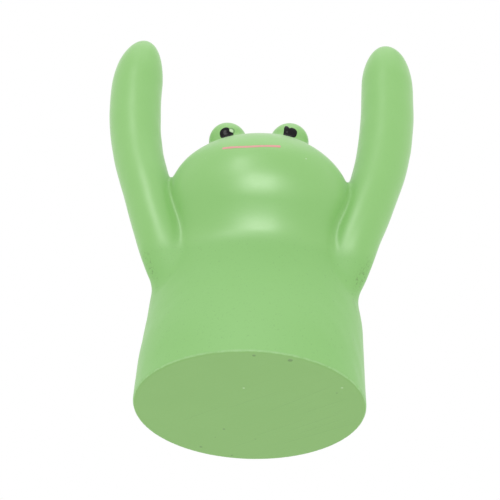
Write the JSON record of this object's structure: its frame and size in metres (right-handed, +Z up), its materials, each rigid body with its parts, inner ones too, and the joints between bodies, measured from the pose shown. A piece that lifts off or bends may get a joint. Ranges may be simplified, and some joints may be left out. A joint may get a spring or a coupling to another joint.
{
  "type": "frog figurine",
  "caption": "Small solid resin frog figure with both arms raised, standing on a flat round base; a desk or shelf ornament.",
  "frame": {"origin": "middle of the flat round ground face, on the surface the figure stands on", "axes": "+Z up from the ground face to the raised hands; the face looks along -Y; +X is towards the figure's arm on the right of a viewer facing it"},
  "size_m": [0.0554, 0.04, 0.0747],
  "materials": {
    "green_paint": "satin green paint on solid cast resin",
    "black_paint": "glossy black hand-painted spot",
    "pink_paint": "thin pink brush stroke"
  },
  "bodies": {
    "root": {"torso": "green_paint", "head": "green_paint", "left_arm": "green_paint", "right_arm": "green_paint", "left_eye_dome": "green_paint", "right_eye_dome": "green_paint", "left_pupil": "black_paint", "right_pupil": "black_paint", "mouth_stroke": "pink_paint"}
  },
  "joints": []
}
